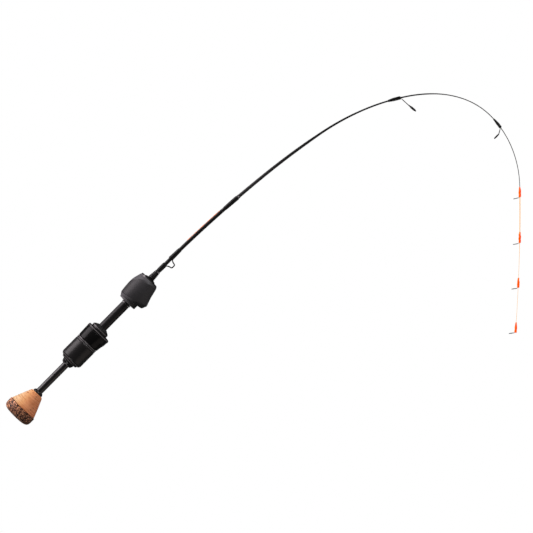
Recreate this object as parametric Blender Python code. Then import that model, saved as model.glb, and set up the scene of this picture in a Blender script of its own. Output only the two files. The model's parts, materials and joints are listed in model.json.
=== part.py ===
"""Ice fishing rod: butt grip, screw-down reel seat, foregrip, and a flexed blank with its guides.

Every piece is laid out by its station, the distance in millimetres along the rod from the butt's
rear face. The rod bends in the XZ plane: the handle rises towards +X, the reel hangs on the lower
side, and the tip curls over and down. The origin is the centre of the butt's rear face.
"""

import bisect
import math

import bpy
from mathutils import Matrix, Vector

MM = 0.001

# ---- driving dimensions, in millimetres and degrees -------------------------------------------
ROD_LENGTH = 711.0
HANDLE_RISE = 45.3
# the blank's heading above the horizontal at stations along it, as the loaded rod carries it
BLANK_HEADINGS = (
    (175, HANDLE_RISE), (240, 42), (300, 39), (360, 34), (400, 23.5), (440, 11.5), (465, -1),
    (490, -19.5), (520, -47), (555, -70.5), (585, -89), (640, -91.5), (ROD_LENGTH, -94),
)
HANDLE_SIDES = 24
BLANK_SIDES = 12

TUBE_R = 3.1
TUBE_BORE_R = 2.35
TUBE_ENDS = (5.4, 163.0)
ON_TUBE_R = 3.3  # bore of what is fixed on the handle tube
OVER_TUBE_R = 3.45  # bore of what slides along it

BUTT_R = 13.76
CORK_ENDS = (10.0, 27.5)

THREAD_ENDS = (75.2, 92.5)
THREAD_PITCH = 2.0
THREAD_CORE_R = 4.75
THREAD_CREST_R = 5.3
KEYWAY_R = 4.45
OVER_THREAD_R = 5.75
KNOB_R = 10.45
KNOB_ENDS = (67.6, 85.9)
TRIM_ENDS = (86.2, 88.9)
HOOD_ENDS = (89.2, 102.7)
SADDLE_R = 8.3
SEAT_TUBE_R = 4.0
SEAT_TUBE_ENDS = (92.8, 135.2)

GRIP_FRONT = 165.2
GRIP_CORE_R = 6.0

BLANK_REAR = 120.0
SPLICE = 262.0
FLAT_TIP_REAR = 590.3
# radius of the blank at stations along it
BLANK_RADII = (
    (BLANK_REAR, 1.44), (175, 1.44), (SPLICE, 1.36), (325, 1.14), (360, 0.92), (400, 0.7),
    (431, 0.6), (445, 0.42), (490, 0.34), (531, 0.27), (585, 0.22),
)
FLAT_TIP_HALF_WIDTH = 0.75
FLAT_TIP_HALF_THICKNESS = 0.17
TIP_WRAPS = ((585.4, 594.2), (624.0, 633.6), (663.6, 672.2), (702.0, ROD_LENGTH))

# The blank bends between these stations when the load on it changes. The pieces after each stretch
# swing together about the point that keeps the stretch's length.
FLEX_STRETCHES = {"flex_root": (360, 429), "flex_middle": (429, 526), "flex_tip": (526, 590)}


# ---- the rod's centreline ---------------------------------------------------------------------
def between(table, station):
    """The value at a station, read from a table of (station, value)."""
    if station <= table[0][0]:
        return table[0][1]
    if station >= table[-1][0]:
        return table[-1][1]
    k = bisect.bisect_right([row[0] for row in table], station)
    (s0, v0), (s1, v1) = table[k - 1], table[k]
    return v0 + (v1 - v0) * (station - s0) / (s1 - s0)


def heading(station):
    return math.radians(between(BLANK_HEADINGS, station))


def trace_centreline(step):
    """Points of the centreline, one every step millimetres."""
    points = [Vector((0, 0, 0))]
    for k in range(int(ROD_LENGTH / step) + 1):
        angle = heading((k + 0.5) * step)
        points.append(points[-1] + step * Vector((math.cos(angle), 0, math.sin(angle))))
    return points


TRACE_STEP = 0.5
CENTRELINE = trace_centreline(TRACE_STEP)


def frame_at(station):
    """(point, direction of the reel side, direction to the tip) at a station, in millimetres."""
    k = min(int(station / TRACE_STEP), len(CENTRELINE) - 2)
    point = CENTRELINE[k].lerp(CENTRELINE[k + 1], station / TRACE_STEP - k)
    angle = heading(station)
    forward = Vector((math.cos(angle), 0, math.sin(angle)))
    reel_side = Vector((math.sin(angle), 0, -math.cos(angle)))
    return point, reel_side, forward


def place(station, x, y, along=0.0):
    """A point at x towards the reel side and y sideways from the centreline."""
    point, reel_side, forward = frame_at(station)
    return point + reel_side * x + Vector((0, y, 0)) + forward * along


def swing_point(start, end):
    """The pivot about which the rod ahead of a stretch swings until the stretch is straight."""
    p0, _, forward = frame_at(start)
    p1 = frame_at(end)[0]
    target = p0 + forward * (end - start)
    turn = heading(end) - heading(start)
    swing = Matrix.Rotation(turn, 2)
    a, b = Vector((p1.x, p1.z)), Vector((target.x, target.z))
    pivot = (Matrix.Identity(2) - swing).inverted() @ (b - swing @ a)
    return Vector((pivot.x, 0, pivot.y))


# ---- cross sections: functions of the angle from the reel side, giving (x, y) ------------------
def disc(r):
    return lambda angle: (r * math.cos(angle), r * math.sin(angle))


def egg(top, reel, side):
    """An oval with its own reach on the top, the reel side and to either side."""
    return lambda angle: (
        math.cos(angle) * (reel if math.cos(angle) > 0 else top),
        math.sin(angle) * side,
    )


def flared(top, reel):
    """A disc that swells smoothly towards the reel side."""

    def section(angle):
        r = top + (reel - top) * max(0.0, math.cos(angle)) ** 2
        return r * math.cos(angle), r * math.sin(angle)

    return section


def pocketed(r, reach):
    """A disc with a flat-bottomed pocket out to reach on the reel side."""
    edge, shoulder = math.radians(37.5), math.radians(12)

    def section(angle):
        off = abs(math.remainder(angle, 2 * math.pi))
        out = r + (reach - r) * min(1.0, max(0.0, (edge - off) / shoulder))
        return out * math.cos(angle), out * math.sin(angle)

    return section


def strip(half_thickness, half_width):
    """A flat strip with rounded edges."""
    return lambda angle: (
        half_thickness * math.copysign(abs(math.cos(angle)) ** 0.6, math.cos(angle)),
        half_width * math.copysign(abs(math.sin(angle)) ** 0.6, math.sin(angle)),
    )


# ---- mesh building ----------------------------------------------------------------------------
class Shell:
    """Points and faces of one closed body, in millimetres."""

    def __init__(self):
        self.points = []
        self.faces = []

    def add_ring(self, points):
        start = len(self.points)
        self.points.extend(points)
        return list(range(start, start + len(points)))

    def join_rings(self, a, b, wrap=True):
        count = max(len(a), len(b))
        for k in range(count if wrap else count - 1):
            n = (k + 1) % count
            if len(a) == 1:
                self.faces.append((a[0], b[k], b[n]))
            elif len(b) == 1:
                self.faces.append((a[n], a[k], b[0]))
            else:
                self.faces.append((a[k], b[k], b[n], a[n]))


def along_rod(profile, sides=HANDLE_SIDES, closed=False):
    """Carries a turned outline along the rod.

    Each profile entry is (station, section), where section is a radius or a function of the angle.
    A station may be a pair, (on the top, on the reel side), for an end that leans. A radius of 0
    closes an end; closed joins the last entry to the first, for a piece with a bore.
    """
    shell = Shell()
    rings = []
    for station, section in profile:
        if section == 0:
            rings.append(shell.add_ring([place(station, 0, 0)]))
            continue
        shape = disc(section) if isinstance(section, (int, float)) else section
        top, reel = station if isinstance(station, tuple) else (station, station)
        lean = (reel - top) / 2
        middle = (reel + top) / 2
        ring = []
        for k in range(sides):
            angle = 2 * math.pi * (k + 0.5) / sides
            x, y = shape(angle)
            ring.append(place(middle, x, y, lean * math.cos(angle)))
        rings.append(shell.add_ring(ring))
    for a, b in zip(rings, rings[1:]):
        shell.join_rings(a, b)
    if closed:
        shell.join_rings(rings[-1], rings[0])
    return shell


def stations_between(start, end, step):
    """Evenly spaced stations from start to end, no further apart than step."""
    count = max(1, math.ceil((end - start) / step))
    return [start + (end - start) * k / count for k in range(count + 1)]


def sleeve(start, end, outer, inner, step=4.0, edge=0.0, sides=BLANK_SIDES):
    """A tube round the blank, with its outer corners taken off by edge."""
    outside = [(s, outer) for s in stations_between(start + edge, end - edge, step)]
    if edge:
        outside = [(start, outer - edge), *outside, (end, outer - edge)]
    inside = [(s, inner) for s in stations_between(start, end, step)]
    return along_rod([*outside, *reversed(inside)], sides, closed=True)


def swept(path, sizes, sides):
    """A bar along path, a list of (station, x) in the bend plane; sizes are (half height, half width)."""
    spots = [place(station, x, 0) for station, x in path]
    shell = Shell()
    rings = []
    for k, spot in enumerate(spots):
        ahead = (spots[min(k + 1, len(spots) - 1)] - spots[max(k - 1, 0)]).normalized()
        up = Vector((ahead.z, 0, -ahead.x))
        height, width = sizes[k]
        ring = []
        for n in range(sides):
            angle = 2 * math.pi * (n + 0.5) / sides
            ring.append(spot + up * height * math.cos(angle) + Vector((0, width * math.sin(angle), 0)))
        rings.append(shell.add_ring(ring))
    for a, b in zip(rings, rings[1:]):
        shell.join_rings(a, b)
    shell.faces.append(tuple(rings[0]))
    shell.faces.append(tuple(reversed(rings[-1])))
    return shell


def guide_frame(foot, leg, ring, foot_size, leg_size, sides=20):
    """A single-foot guide frame: foot along the blank, a leg, and a flat ring with a bore.

    foot is (rear station, front station, x), and leg is a list of (station, x) that goes on from it
    to the ring. Sizes are (width, thickness). ring holds the station and x of its centre, its lean in
    degrees towards the tip from square to the blank, its outer and inner radius and its thickness.
    """
    base = leg[0][0]
    _, reel_side, forward = frame_at(base)
    lean = math.radians(ring["lean"])
    outward = reel_side * math.cos(lean) + forward * math.sin(lean)
    axis = forward * math.cos(lean) - reel_side * math.sin(lean)
    centre = place(base, ring["x"], 0, ring["station"] - base)
    shell = Shell()
    loops = []
    for radius, side in ((ring["outer"], 1), (ring["outer"], -1), (ring["inner"], -1), (ring["inner"], 1)):
        loop = []
        for k in range(sides):
            angle = 2 * math.pi * k / sides
            spoke = -outward * math.cos(angle) + Vector((0, math.sin(angle), 0))
            loop.append(centre + spoke * radius + axis * side * ring["thickness"] / 2)
        loops.append(shell.add_ring(loop))
    for a, b in zip(loops, loops[1:] + loops[:1]):
        shell.join_rings(a, b)
    # the leg grows out of the two outer faces nearest the blank
    front, back = loops[0], loops[1]
    shell.faces.remove((front[0], back[0], back[1], front[1]))
    shell.faces.remove((front[-1], back[-1], back[0], front[0]))
    section = [front[-1], front[0], front[1], back[1], back[0], back[-1]]
    path = [(place(base, x, 0, station - base), leg_size) for station, x in reversed(leg)]
    rear, front_end, x = foot
    path += [(place(station, x, 0), foot_size) for station in reversed(stations_between(rear, front_end, 2))]
    before = centre - outward * ring["outer"]
    front_side = axis
    for k, (spot, (width, thickness)) in enumerate(path):
        half_width, half_thickness = width / 2, thickness / 2
        after = path[min(k + 1, len(path) - 1)][0]
        down = (after - before).normalized()
        face = Vector((-down.z, 0, down.x))
        if face.dot(front_side) < 0:
            face = -face
        front_side = face
        level = shell.add_ring(
            [
                spot + Vector((0, across * half_width, 0)) + face * side * half_thickness
                for side, across in ((1, -1), (1, 0), (1, 1), (-1, 1), (-1, 0), (-1, -1))
            ]
        )
        shell.join_rings(section, level)
        section, before = level, spot
    shell.faces.append((section[0], section[5], section[4], section[1]))
    shell.faces.append((section[1], section[4], section[3], section[2]))
    return shell


# ---- objects ----------------------------------------------------------------------------------
def clear_scene():
    for thing in list(bpy.data.objects):
        bpy.data.objects.remove(thing, do_unlink=True)


def make_material(name, colour, roughness, metallic=0.0):
    material = bpy.data.materials.new(name)
    material.use_nodes = True
    shader = material.node_tree.nodes["Principled BSDF"]
    shader.inputs["Base Color"].default_value = (*colour, 1.0)
    shader.inputs["Roughness"].default_value = roughness
    shader.inputs["Metallic"].default_value = metallic
    return material


def make_empty(name, spot, rise, parent=None):
    """An empty with its Z along a heading of the rod, or with its Y on a swing axis."""
    empty = bpy.data.objects.new(name, None)
    bpy.context.collection.objects.link(empty)
    empty.parent = parent
    world = Matrix.Translation(spot * MM) @ Matrix.Rotation(math.pi / 2 - rise, 4, "Y")
    empty.matrix_world = world
    bpy.context.view_layer.update()
    return empty


def make_piece(name, shell, look, parent):
    """One named solid, its mesh kept in the frame of the empty that it hangs from."""
    mesh = bpy.data.meshes.new(name)
    local = parent.matrix_world.inverted()
    mesh.from_pydata([local @ (p * MM) for p in shell.points], [], shell.faces)
    mesh.validate()
    solid = bpy.data.objects.new(name, mesh)
    bpy.context.collection.objects.link(solid)
    solid.parent = parent
    face_outwards(mesh)
    mesh.shade_smooth()
    mesh.set_sharp_from_angle(angle=math.radians(35))
    mesh.materials.append(make_material(name, *look))
    return solid


def face_outwards(mesh):
    """Turns every face of a closed body so that its front is outside."""
    volume = 0.0
    for face in mesh.polygons:
        corners = [mesh.vertices[v].co for v in face.vertices]
        for a, b in zip(corners[1:], corners[2:]):
            volume += corners[0].cross(a).dot(b)
    if volume < 0:
        mesh.flip_normals()


# ---- looks: colour, roughness, metallic -------------------------------------------------------
BURL = ((0.16, 0.075, 0.03), 0.4)
CORK = ((0.78, 0.53, 0.31), 0.75)
GLOSS_BLACK = ((0.012, 0.012, 0.013), 0.12)
SATIN_BLACK = ((0.02, 0.02, 0.022), 0.38)
SOFT_TOUCH = ((0.055, 0.055, 0.058), 0.62)
RUBBER = ((0.03, 0.03, 0.03), 0.6)
NYLON = ((0.08, 0.08, 0.08), 0.5)
STEEL = ((0.55, 0.55, 0.57), 0.25, 1.0)
DARK_METAL = ((0.12, 0.12, 0.13), 0.25, 1.0)
CERAMIC = ((0.02, 0.02, 0.024), 0.15)
CARBON = ((0.025, 0.025, 0.028), 0.2)
GREY_BLANK = ((0.11, 0.11, 0.12), 0.22)
THREAD_BLACK = ((0.02, 0.02, 0.02), 0.25)
ORANGE = ((0.95, 0.14, 0.015), 0.35)
PALE_ORANGE = ((0.95, 0.42, 0.16), 0.3)
TAPE = ((0.5, 0.48, 0.42), 0.7)


# ---- butt grip --------------------------------------------------------------------------------
def butt_cap():
    return along_rod(
        [
            (0, 0), (0, 7.0), (0.35, 9.6), (1.1, 11.7), (2.3, 13.0), (4.0, 13.65),
            (9.3, BUTT_R), (9.7, 13.4), (9.7, ON_TUBE_R), (5.0, ON_TUBE_R), (5.0, 0),
        ]
    )


def butt_cork():
    rear, front = CORK_ENDS
    return along_rod(
        [
            (rear, ON_TUBE_R), (rear, 12.6), (rear + 0.35, 12.9), (rear + 8, 9.85), (front - 1.2, 6.3),
            (front - 0.5, 5.7), (front, 4.9), (front, ON_TUBE_R),
        ],
        closed=True,
    )


def butt_check():
    rear = CORK_ENDS[1] + 0.3
    return along_rod(
        [
            (rear, ON_TUBE_R), (rear, 4.75), (rear + 0.7, 4.65), (rear + 1.4, 4.25),
            (rear + 2.1, 3.7), (rear + 2.1, ON_TUBE_R),
        ],
        closed=True,
    )


def handle_tube():
    rear, front = TUBE_ENDS
    return along_rod(
        [(rear, TUBE_BORE_R), (rear, TUBE_R), (front, TUBE_R), (front, TUBE_BORE_R)], closed=True
    )


# ---- reel seat --------------------------------------------------------------------------------
def knob_rear_bush():
    return along_rod(
        [
            (62.7, OVER_TUBE_R), (62.7, 3.9), (63.4, 4.6), (64.5, 5.2), (65.2, 5.6), (65.7, 5.6),
            (65.7, 4.3), (69.0, 4.3), (69.0, OVER_TUBE_R),
        ],
        closed=True,
    )


def knob_flange():
    return along_rod(
        [(66.0, 4.6), (66.0, 6.8), (66.3, 7.25), (66.9, 7.8), (67.3, 8.1), (67.3, 4.6)], closed=True
    )


def lock_knob():
    rear, front = KNOB_ENDS
    return along_rod(
        [
            (rear, 4.6), (rear, 8.9), (rear + 0.4, 9.4), (rear + 1.2, 10.05), (rear + 2.1, KNOB_R),
            (front, KNOB_R), (front, 7.2), (85.5, 7.2), (85.5, 7.95), (84.2, 7.95), (84.2, 7.2),
            (83.0, 7.2), (83.0, OVER_THREAD_R), (70.4, OVER_THREAD_R), (70.4, 4.6),
        ],
        closed=True,
    )


def trim_ring():
    rear, front = TRIM_ENDS
    return along_rod(
        [
            (rear, 7.3), (rear, 10.25), (rear + 0.25, KNOB_R), (front - 0.25, KNOB_R), (front, 10.25),
            (front, 7.3),
        ],
        closed=True,
    )


def seat_thread():
    """A threaded sleeve with one start and a keyway along its top."""
    rear, front = THREAD_ENDS
    shell = Shell()
    rings = []
    steps = int((front - rear) / THREAD_PITCH * 3)
    for n in range(steps + 1):
        station = rear + (front - rear) * n / steps
        ring = []
        for k in range(HANDLE_SIDES):
            angle = 2 * math.pi * (k + 0.5) / HANDLE_SIDES
            turn = (station - rear) / THREAD_PITCH - angle / (2 * math.pi)
            ridge = abs(2 * (turn % 1.0) - 1)
            r = THREAD_CORE_R + (THREAD_CREST_R - THREAD_CORE_R) * ridge
            if abs(angle - math.pi) < math.radians(25):
                r = KEYWAY_R
            ring.append(place(station, r * math.cos(angle), r * math.sin(angle)))
        rings.append(shell.add_ring(ring))
    for station in (front, rear):
        ring = []
        for k in range(HANDLE_SIDES):
            angle = 2 * math.pi * (k + 0.5) / HANDLE_SIDES
            ring.append(place(station, ON_TUBE_R * math.cos(angle), ON_TUBE_R * math.sin(angle)))
        rings.append(shell.add_ring(ring))
    for a, b in zip(rings, rings[1:] + rings[:1]):
        shell.join_rings(a, b)
    return shell


def hood_key():
    """The strip in the hood's bore that rides in the thread's keyway, so the hood can't turn."""
    path = [(station, -5.1) for station in (86.5, 89.2, 91.8)]
    return swept(path, [(0.62, 0.62)] * len(path), 4)


def retaining_ring():
    """An open wire ring that joins the knob to the hood's tail and lets the knob turn."""
    shell = Shell()
    sections = []
    opening = math.radians(14)
    count = 22
    for k in range(count + 1):
        angle = opening + (2 * math.pi - 2 * opening) * k / count
        section = []
        for station, r in ((84.55, 6.55), (84.55, 7.7), (85.15, 7.7), (85.15, 6.55)):
            section.append(place(station, -r * math.cos(angle), r * math.sin(angle)))
        sections.append(shell.add_ring(section))
    for a, b in zip(sections, sections[1:]):
        shell.join_rings(a, b)
    shell.faces.append(tuple(sections[0]))
    shell.faces.append(tuple(reversed(sections[-1])))
    return shell


def slide_hood():
    """The hood shell, with a pocket on the reel side for the reel foot's rear end."""
    rear, front = HOOD_ENDS
    return along_rod(
        [
            (rear, 7.3), (rear, flared(10.2, 10.4)), (rear + 0.3, flared(10.45, 10.65)),
            (93.5, flared(10.65, 11.15)), (96.5, flared(10.75, 11.95)), (100.0, flared(10.8, 12.2)),
            (100.3, flared(10.9, 12.4)), (101.6, flared(10.85, 12.35)), (102.3, flared(10.7, 11.8)),
            (front, flared(10.4, 11.1)), (front, pocketed(8.6, 10.7)), (95.0, pocketed(8.6, 10.1)),
            (94.2, 8.6), (91.2, 8.6), (91.2, 7.3),
        ],
        closed=True,
    )


def hood_saddle():
    """The moulded sleeve in the hood: a tail in the knob, and the saddle for the reel foot."""
    return along_rod(
        [
            (83.3, OVER_THREAD_R), (83.3, 6.9), (84.25, 6.9), (84.25, 6.4), (85.45, 6.4), (85.45, 6.9),
            (91.6, 6.9), (91.6, 8.1), (102.7, 8.1), (103.0, SADDLE_R), (105.2, SADDLE_R),
            (105.4, 8.1), (105.4, OVER_THREAD_R),
        ],
        closed=True,
    )


def nose_bush():
    return along_rod(
        [
            (101.6, 4.2), (101.6, 5.5), (105.6, 5.5), (105.6, 7.75), (106.1, 7.15), (106.7, 6.15),
            (107.3, 5.1), (107.6, 4.6), (107.6, 4.2),
        ],
        closed=True,
    )


def seat_tube():
    rear, front = SEAT_TUBE_ENDS
    return along_rod(
        [(rear, ON_TUBE_R), (rear, SEAT_TUBE_R), (front, SEAT_TUBE_R), (front, ON_TUBE_R)], closed=True
    )


def seat_front_collar():
    return along_rod([(135.5, ON_TUBE_R), (135.5, 4.35), (136.7, 4.35), (136.7, ON_TUBE_R)], closed=True)


# ---- foregrip ---------------------------------------------------------------------------------
def front_saddle():
    """The rigid core of the foregrip, whose rear end is the front saddle for the reel foot."""
    return along_rod(
        [
            (137.0, ON_TUBE_R), (137.0, 5.0), (137.9, 8.0), (138.2, SADDLE_R), (141.9, SADDLE_R),
            (142.1, 8.0), (150.2, 8.0), (150.4, GRIP_CORE_R), (164.6, GRIP_CORE_R),
            (164.6, ON_TUBE_R),
        ],
        closed=True,
    )


def foregrip():
    """The soft shell, deeper on the reel side, with a pocket for the reel foot's front end."""
    return along_rod(
        [
            ((138.1, 142.3), egg(8.9, 11.2, 9.1)), ((138.6, 142.5), egg(9.15, 11.8, 9.6)),
            ((140.2, 143.3), egg(9.9, 12.4, 10.2)), ((141.5, 145.1), egg(10.55, 13.3, 10.8)),
            ((143.6, 147.1), egg(10.75, 14.1, 11.1)), ((147.1, 149.0), egg(11.0, 13.8, 11.3)),
            (151.4, egg(11.2, 12.7, 11.4)), (155.0, egg(11.1, 11.5, 11.1)),
            ((158.3, 161.6), egg(10.65, 9.95, 10.3)), ((160.5, 163.0), egg(9.9, 9.45, 9.7)),
            ((163.2, 164.4), egg(9.1, 8.9, 9.0)), ((164.8, 165.0), egg(8.7, 8.1, 8.4)),
            (GRIP_FRONT, egg(8.0, 7.3, 7.6)), (GRIP_FRONT, 6.35), (150.7, 6.35), (150.7, 8.45),
            (150.2, pocketed(8.45, 10.3)), ((138.1, 142.3), pocketed(8.65, 10.4)),
        ],
        closed=True,
    )


def front_check():
    return along_rod([(165.5, 1.75), (165.5, 5.3), (165.8, 5.2), (166.6, 3.0), (166.6, 1.75)], closed=True)


def ribbed_taper():
    """A soft winding check with a rib at each step of its taper."""
    rear, front, ribs = 166.9, 174.5, 5
    pitch = (front - rear) / ribs
    profile = [(rear, 1.7)]
    for n in range(ribs):
        start = rear + n * pitch
        crest = 2.7 - 0.08 * n
        profile += [(start, crest - 0.35), (start + 0.25 * pitch, crest), (start + 0.7 * pitch, crest)]
    profile += [(front, 2.1), (front, 1.7)]
    return along_rod(profile, 16, closed=True)


def blank_arbor(start, end):
    return sleeve(start, end, 2.2, 1.62, step=20, sides=HANDLE_SIDES)


# ---- blank ------------------------------------------------------------------------------------
def butt_blank():
    """The stiff rear half of the blank, bored at its front for the tip section's spigot."""
    outside = [(s, between(BLANK_RADII, s)) for s in (BLANK_REAR, *stations_between(176, SPLICE, 9))]
    return along_rod(
        [(BLANK_REAR, 0), *outside, (SPLICE, 0.9), (SPLICE - 11, 0.9), (SPLICE - 11, 0)], BLANK_SIDES
    )


def tip_blank():
    """The slender front half of the blank, from its spigot in the rear half to the flat tip."""
    shoulder = SPLICE + 0.3
    end = FLAT_TIP_REAR - 0.3
    stations = [*stations_between(shoulder, 400, 11), *stations_between(406, end, 6)]
    outside = [(s, between(BLANK_RADII, s)) for s in stations]
    spigot = [(SPLICE - 10.5, 0), (SPLICE - 10.5, 0.72), (shoulder, 0.72)]
    return along_rod([*spigot, *outside, (end, 0)], BLANK_SIDES)


def flat_tip():
    """The thin ground tip that shows a bite, wide across the bend and thin in it."""
    shape = strip(FLAT_TIP_HALF_THICKNESS, FLAT_TIP_HALF_WIDTH)
    stations = stations_between(FLAT_TIP_REAR, ROD_LENGTH, 6)
    return along_rod(
        [(FLAT_TIP_REAR, 0), *[(s, shape) for s in stations], (ROD_LENGTH, 0)], BLANK_SIDES
    )


# ---- hook keeper and guides -------------------------------------------------------------------
KEEPER_WRAP_REAR = (175.9, 183.5)
KEEPER_WRAP_FRONT = (191.2, 203.0)


def hook_keeper():
    """A wire loop on the reel side; its flattened feet lie on the blank under two wraps."""
    foot, neck, wire = (0.07, 0.4), (0.2, 0.36), (0.33, 0.33)
    rear_leg = [(178.5, 1.63), (183.55, 1.63), (183.9, 1.9), (184.15, 2.6), (184.35, 3.4)]
    loop = [
        (185.05, 5.2), (185.35, 5.85), (185.85, 6.3), (186.5, 6.45), (188.9, 6.45), (189.5, 6.3),
        (189.9, 5.85), (190.05, 5.2), (190.3, 3.4),
    ]
    front_leg = [(190.4, 2.6), (190.65, 1.9), (191.05, 1.63), (196.4, 1.63)]
    sizes = [foot, foot, neck, wire, wire, *[wire] * len(loop), wire, neck, foot, foot]
    return swept(rear_leg + loop + front_leg, sizes, 8)


GUIDES = {
    "guide_1": {
        "wrap": (423.6, 434.9, 1.3, 0.98),
        "foot": (427.0, 435.0, 0.81),
        "leg": [(435.7, 1.35), (436.5, 2.6), (440.1, 7.7)],
        "ring": {"station": 443.0, "x": 11.45, "lean": 37, "outer": 3.6, "inner": 2.85, "thickness": 0.9},
        "foot_size": (0.62, 0.16),
        "leg_size": (1.1, 0.32),
        "insert": (2.7, 1.9, 1.6),
    },
    "guide_2": {
        "wrap": (521.2, 531.0, 1.08, 0.8),
        "foot": (524.0, 531.1, 0.56),
        "leg": [(531.7, 1.1), (532.3, 1.95), (534.0, 3.9)],
        "ring": {"station": 535.0, "x": 7.3, "lean": 10, "outer": 2.8, "inner": 2.25, "thickness": 0.8},
        "foot_size": (0.7, 0.16),
        "leg_size": (0.9, 0.4),
        "insert": (2.12, 1.45, 1.2),
    },
}


def guide_insert(guide):
    """The hard ring in a guide's frame that the line runs through."""
    ring = guide["ring"]
    base = guide["leg"][0][0]
    _, reel_side, forward = frame_at(base)
    lean = math.radians(ring["lean"])
    outward = reel_side * math.cos(lean) + forward * math.sin(lean)
    axis = forward * math.cos(lean) - reel_side * math.sin(lean)
    centre = place(base, ring["x"], 0, ring["station"] - base)
    outer, inner, depth = guide["insert"]
    middle, half = (outer + inner) / 2, (outer - inner) / 2
    shell = Shell()
    rings = []
    for n in range(8):
        round_angle = 2 * math.pi * (n + 0.5) / 8
        r = middle + half * math.cos(round_angle)
        offset = depth / 2 * math.sin(round_angle)
        loop = []
        for k in range(20):
            angle = 2 * math.pi * k / 20
            spoke = -outward * math.cos(angle) + Vector((0, math.sin(angle), 0))
            loop.append(centre + spoke * r + axis * offset)
        rings.append(shell.add_ring(loop))
    for a, b in zip(rings, rings[1:] + rings[:1]):
        shell.join_rings(a, b)
    return shell


def tip_guide(wrap_end):
    """A small one-piece guide on the flat tip, its ring just ahead of its wrap."""
    last = wrap_end >= ROD_LENGTH
    base = wrap_end - 0.1 if last else wrap_end + 0.3
    foot = (base - 7.5, base - 0.6, 0.5)
    leg = [(base, 0.6), (base + 0.3, 1.2)]
    ring = {"station": base + 0.7, "x": 3.6, "lean": 12, "outer": 2.2, "inner": 1.55, "thickness": 0.7}
    return guide_frame(foot, leg, ring, (0.6, 0.16), (0.8, 0.22), sides=16)


# ---- the whole rod ----------------------------------------------------------------------------
def build_handle(root, hood, knob):
    make_piece("butt_cap", butt_cap(), BURL, root)
    make_piece("butt_cork", butt_cork(), CORK, root)
    make_piece("butt_check", butt_check(), SATIN_BLACK, root)
    make_piece("handle_tube", handle_tube(), GLOSS_BLACK, root)
    make_piece("seat_thread", seat_thread(), NYLON, root)
    make_piece("seat_tube", seat_tube(), SATIN_BLACK, root)
    make_piece("seat_front_collar", seat_front_collar(), DARK_METAL, root)
    make_piece("front_saddle", front_saddle(), SATIN_BLACK, root)
    make_piece("foregrip", foregrip(), SOFT_TOUCH, root)
    make_piece("front_check", front_check(), SATIN_BLACK, root)
    make_piece("ribbed_taper", ribbed_taper(), RUBBER, root)
    make_piece("blank_arbor_rear", blank_arbor(123.0, 133.0), TAPE, root)
    make_piece("blank_arbor_front", blank_arbor(152.0, 162.5), TAPE, root)
    make_piece("slide_hood", slide_hood(), GLOSS_BLACK, hood)
    make_piece("hood_saddle", hood_saddle(), SATIN_BLACK, hood)
    make_piece("nose_bush", nose_bush(), SATIN_BLACK, hood)
    make_piece("hood_key", hood_key(), NYLON, hood)
    make_piece("retaining_ring", retaining_ring(), STEEL, hood)
    make_piece("lock_knob", lock_knob(), SATIN_BLACK, knob)
    make_piece("knob_flange", knob_flange(), SATIN_BLACK, knob)
    make_piece("knob_rear_bush", knob_rear_bush(), GLOSS_BLACK, knob)
    make_piece("trim_ring", trim_ring(), DARK_METAL, knob)


def build_blank(root):
    make_piece("butt_blank", butt_blank(), CARBON, root)
    make_piece("tip_blank", tip_blank(), GREY_BLANK, root)
    make_piece("taper_trim_ring", sleeve(174.9, 175.6, 2.15, 1.7, edge=0.15), DARK_METAL, root)
    make_piece("keeper_wrap_rear", sleeve(*KEEPER_WRAP_REAR, 2.0, 1.8, edge=0.15), THREAD_BLACK, root)
    make_piece("hook_keeper", hook_keeper(), DARK_METAL, root)
    make_piece("keeper_wrap_front", sleeve(*KEEPER_WRAP_FRONT, 2.0, 1.8, edge=0.15), THREAD_BLACK, root)
    make_piece("ferrule_wrap", sleeve(252.6, 268.9, 1.85, 1.5, edge=0.15), THREAD_BLACK, root)
    make_piece("ferrule_trim_ring", sleeve(269.2, 270.2, 1.72, 1.5, edge=0.1), STEEL, root)


def build_guides(holders):
    for holder, (name, guide) in zip(holders, GUIDES.items()):
        start, end, outer, inner = guide["wrap"]
        make_piece(f"{name}_wrap", sleeve(start, end, outer, inner, edge=0.1), THREAD_BLACK, holder)
        frame = guide_frame(
            guide["foot"], guide["leg"], guide["ring"], guide["foot_size"], guide["leg_size"]
        )
        make_piece(f"{name}_frame", frame, DARK_METAL, holder)
        make_piece(f"{name}_ring", guide_insert(guide), CERAMIC, holder)


def build_tip(holder):
    make_piece("flat_tip", flat_tip(), PALE_ORANGE, holder)
    for n, (start, end) in enumerate(TIP_WRAPS, 1):
        make_piece(f"tip_wrap_{n}", sleeve(start, end, 1.12, 0.92, edge=0.12), ORANGE, holder)
        make_piece(f"tip_guide_{n}", tip_guide(end), DARK_METAL, holder)


def main():
    clear_scene()
    rise = math.radians(HANDLE_RISE)
    root = make_empty("handle_axis", Vector((0, 0, 0)), rise)
    hood = make_empty("hood_slide", frame_at(HOOD_ENDS[0])[0], rise, root)
    knob = make_empty("knob_turn", frame_at(KNOB_ENDS[0])[0], rise, hood)
    pivots = []
    for name, (start, end) in FLEX_STRETCHES.items():
        parent = pivots[-1] if pivots else root
        pivots.append(make_empty(name, swing_point(start, end), math.pi / 2, parent))
    build_handle(root, hood, knob)
    build_blank(root)
    build_guides(pivots[:2])
    build_tip(pivots[2])


main()
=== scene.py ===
"""The looks of a short ice fishing rod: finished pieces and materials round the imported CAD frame.

Lengths here are millimetres until a mesh is made. A station is a length along the rod's centreline
from the rear face of the butt, x is towards the reel side and y sideways, as in the CAD part.
"""

import bisect
import json
import math

import bpy
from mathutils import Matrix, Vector, noise


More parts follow.
